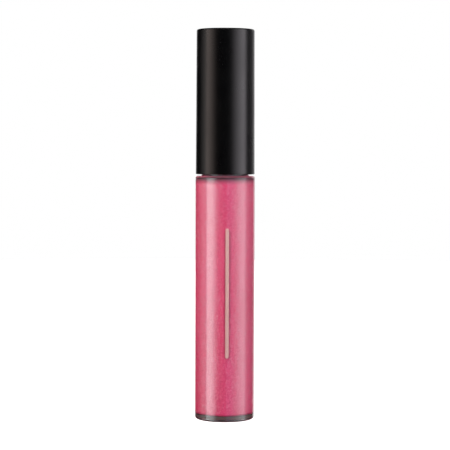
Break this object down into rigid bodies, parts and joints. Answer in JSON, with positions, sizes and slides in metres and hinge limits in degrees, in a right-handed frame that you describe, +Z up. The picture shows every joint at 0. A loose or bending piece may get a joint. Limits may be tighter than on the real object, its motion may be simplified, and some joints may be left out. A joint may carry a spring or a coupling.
{
  "type": "lip gloss tube",
  "caption": "Slim clear screw-neck tube of pearl pink lip gloss with a black drafted cap that carries a flocked applicator wand.",
  "frame": {"origin": "centre of the bottle's base, on the surface that the tube stands on", "axes": "+Z up along the tube's axis from base to cap; -Y is the front, where the foil line is; +X is to the right of the front"},
  "size_m": [0.0162, 0.0161, 0.1054],
  "materials": {
    "clear_bottle": "clear polished plastic",
    "wiper_soft": "natural soft plastic",
    "gloss_pearl": "pink pearl liquid with fine shimmer",
    "foil_champagne": "hot-stamped champagne foil",
    "label_black": "plain black film",
    "washer_foam": "white foamed liner",
    "cap_black": "satin-gloss moulded black",
    "inner_cap_black": "moulded black",
    "stem_plastic": "natural moulded plastic wetted with gloss",
    "tip_plastic": "natural moulded plastic",
    "flock": "short flock soaked in gloss"
  },
  "bodies": {
    "bottle_body": {"bottle": "clear_bottle", "wiper": "wiper_soft", "gloss_fill": "gloss_pearl", "foil_line": "foil_champagne", "base_label": "label_black"},
    "liner": {"seal_washer": "washer_foam"},
    "cap": {"cap_shell": "cap_black", "inner_cap": "inner_cap_black", "wand_stem": "stem_plastic", "tip_core": "tip_plastic", "flock_coat": "flock"}
  },
  "joints": [
    {"name": "cap_lift", "type": "slide", "parent": "bottle_body", "child": "liner", "axis": [0, 0, 1], "range_m": [0, 0.08]},
    {"name": "cap_turn", "type": "hinge", "parent": "liner", "child": "cap", "pos_m": [0, 0, 0.0788], "axis": [0, 0, 1], "continuous": true}
  ],
  "couplings": [
    {"joint": "cap_turn", "follows": "cap_lift", "rad_per_m": 1256.6}
  ]
}
